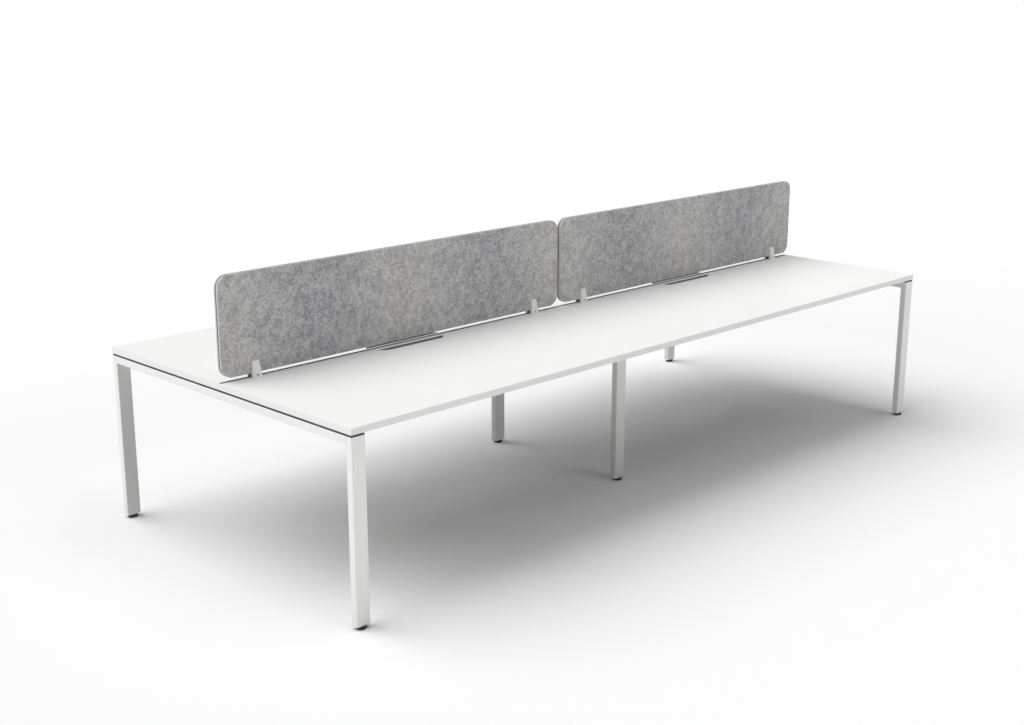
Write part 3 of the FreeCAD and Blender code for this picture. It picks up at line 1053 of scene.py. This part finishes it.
@dataclass(frozen=True)
class Lamp:
    """One wide soft lamp far away.

    Args:
        name: The lamp's name.
        level: How bright a white surface is that faces it, where 1 is white.
        round_deg: Where it stands, from straight behind the object round to the left.
        rise_deg: How high it stands.
        spread_deg: How wide it looks from the object.
    """

    name: str
    level: float
    round_deg: float
    rise_deg: float
    spread_deg: float

    def hang(self) -> None:
        """Hangs the lamp as a sun."""
        lamp = bpy.data.lights.new(self.name, "SUN")
        lamp.energy = math.pi * self.level
        lamp.angle = math.radians(self.spread_deg)
        round_by, rise = math.radians(self.round_deg), math.radians(self.rise_deg)
        out = math.cos(rise)
        place = Vector((-math.sin(round_by) * out, math.cos(round_by) * out, math.sin(rise)))
        hung = bpy.data.objects.new(self.name, lamp)
        hung.rotation_euler = place.to_track_quat("Z", "Y").to_euler()
        bpy.context.scene.collection.objects.link(hung)


@dataclass
class Studio:
    """Pale floor, a soft key lamp behind on the left with weaker ones left and in front, and the camera.

    Args:
        camera_place: Where the camera stands.
        camera_turn_deg: How it is turned about X, Y and Z.
        lens_mm: Its focal length.
        sensor_mm: Its sensor's width.
        sight: How far it sees.
        lamps: The lamps.
        floor_reach: How far the floor reaches each way.
        floor_seen: The floor's tone near the object.
        floor_far: Its tone in the open, where it ends up white.
        fade: Where its tone starts and stops to change, as a multiple of card_half.
        card_tone: Tone of the dark card under the object.
        card_half: Half of the card's length and of its depth.
        card_edge: Where its soft edge starts and stops, as a multiple of card_half.
    """

    camera_place: tuple[float, float, float] = (-4.5850, -4.3013, 2.1560)
    camera_turn_deg: tuple[float, float, float] = (74.974, 0.0, -44.995)
    lens_mm: float = 50.0
    sensor_mm: float = 36.0
    sight: float = 500.0
    lamps: tuple[Lamp, ...] = (
        Lamp("key", 0.84, 45.0, 58.0, 60.0), Lamp("counter", 0.225, 235.0, 68.0, 50.0),
        Lamp("left", 0.16, 90.0, 10.0, 40.0), Lamp("front", 0.185, 190.0, 16.0, 30.0))
    floor_reach: float = 60.0
    floor_seen: float = 0.95
    floor_far: float = 1.02
    fade: tuple[float, float] = (1.5, 3.5)
    card_tone: str = "#141414"
    card_half: tuple[float, float] = (2.25, 1.06)
    card_edge: tuple[float, float] = (0.8, 1.2)

    def build(self) -> None:
        """Sets the stage, the light and the camera."""
        self.lay_floor()
        self.light_world()
        for lamp in self.lamps:
            lamp.hang()
        self.stand_camera()
        bpy.context.scene.view_settings.view_transform = "Standard"

    def lay_floor(self) -> None:
        """Lays a pale floor that looks white where nothing shades it.

        Away from the object it fades to full white. A dark card under the object, which only
        the light sees, takes up what the floor would throw back under the worktops.
        """
        reach = self.floor_reach
        bm = flat_panel(Vector((-reach, -reach, 0.0)), Vector((reach, reach, 0.0)))
        mesh = bpy.data.meshes.new("floor")
        bm.to_mesh(mesh)
        bm.free()
        floor = bpy.data.objects.new("floor", mesh)
        bpy.context.scene.collection.objects.link(floor)
        paint = bpy.data.materials.new("pale_floor")
        paint.use_nodes = True
        tree = paint.node_tree
        tree.nodes.remove(tree.nodes["Principled BSDF"])
        place = add_node(tree, "ShaderNodeTexCoord").outputs["Object"]
        shrunk = add_node(tree, "ShaderNodeMapping", {
            "Vector": place, "Scale": (1.0 / self.card_half[0], 1.0 / self.card_half[1], 1.0)})
        away = add_node(tree, "ShaderNodeVectorMath", {
            "Vector": shrunk.outputs["Vector"]}, operation="LENGTH")
        card = add_node(tree, "ShaderNodeMapRange", {
            "Value": away.outputs["Value"], "From Min": self.card_edge[0], "From Max": self.card_edge[1]})
        bounce = add_node(tree, "ShaderNodeMix", {
            FACTOR: card.outputs["Result"], COLOUR_A: linear(self.card_tone), COLOUR_B: linear(WHITE)},
            data_type="RGBA")
        shade = add_node(tree, "ShaderNodeMapRange", {
            "Value": away.outputs["Value"], "From Min": self.fade[0], "From Max": self.fade[1],
            "To Min": self.floor_seen, "To Max": self.floor_far})
        tone = add_node(tree, "ShaderNodeMix", {
            FACTOR: self.seen_directly(tree), COLOUR_A: bounce.outputs[COLOUR_OUT],
            COLOUR_B: shade.outputs["Result"]}, data_type="RGBA")
        matt = add_node(tree, "ShaderNodeBsdfDiffuse", {"Color": tone.outputs[COLOUR_OUT]})
        tree.links.new(matt.outputs["BSDF"], tree.nodes["Material Output"].inputs["Surface"])
        mesh.materials.append(paint)

    @staticmethod
    def seen_directly(tree: Tree) -> Socket:
        """Tells rays that show the background from rays that light the object.

        Args:
            tree: The node tree of the floor or the world.

        Returns:
            1 for camera, glossy and transmission rays.
        """
        rays = add_node(tree, "ShaderNodeLightPath")
        mirror = add_node(tree, "ShaderNodeMath", {
            0: rays.outputs["Is Glossy Ray"], 1: rays.outputs["Is Transmission Ray"]}, operation="MAXIMUM")
        seen = add_node(tree, "ShaderNodeMath", {
            0: rays.outputs["Is Camera Ray"], 1: mirror.outputs["Value"]}, operation="MAXIMUM")
        return seen.outputs["Value"]

    def light_world(self) -> None:
        """Shows white behind the object, and leaves its light to the lamps and the floor."""
        world = bpy.data.worlds.new("studio")
        bpy.context.scene.world = world
        world.use_nodes = True
        tree = world.node_tree
        backdrop = tree.nodes["Background"]
        backdrop.inputs["Color"].default_value = linear(WHITE)
        tree.links.new(self.seen_directly(tree), backdrop.inputs["Strength"])

    def stand_camera(self) -> None:
        """Stands the camera at the photograph's viewpoint."""
        lens = bpy.data.cameras.new("camera")
        lens.lens = self.lens_mm
        lens.sensor_width = self.sensor_mm
        lens.sensor_fit = "HORIZONTAL"
        lens.clip_end = self.sight
        camera = bpy.data.objects.new("camera", lens)
        camera.location = self.camera_place
        camera.rotation_euler = [math.radians(turn) for turn in self.camera_turn_deg]
        bpy.context.scene.collection.objects.link(camera)
        bpy.context.scene.camera = camera


def main() -> None:
    """Loads the frame, builds and dresses each sub-assembly, and sets the studio."""
    logging.basicConfig(level=logging.INFO, format="%(name)s: %(message)s")
    for old in list(bpy.data.objects):
        bpy.data.objects.remove(old)
    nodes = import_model()["nodes"]
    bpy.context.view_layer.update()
    for assembly in (Worktops(), TubeFrame(), Screens(), Clamps(), Fixings(), Feet()):
        assembly.build(nodes)
        assembly.dress(nodes)
    Studio().build()


if __name__ == "__main__":
    main()
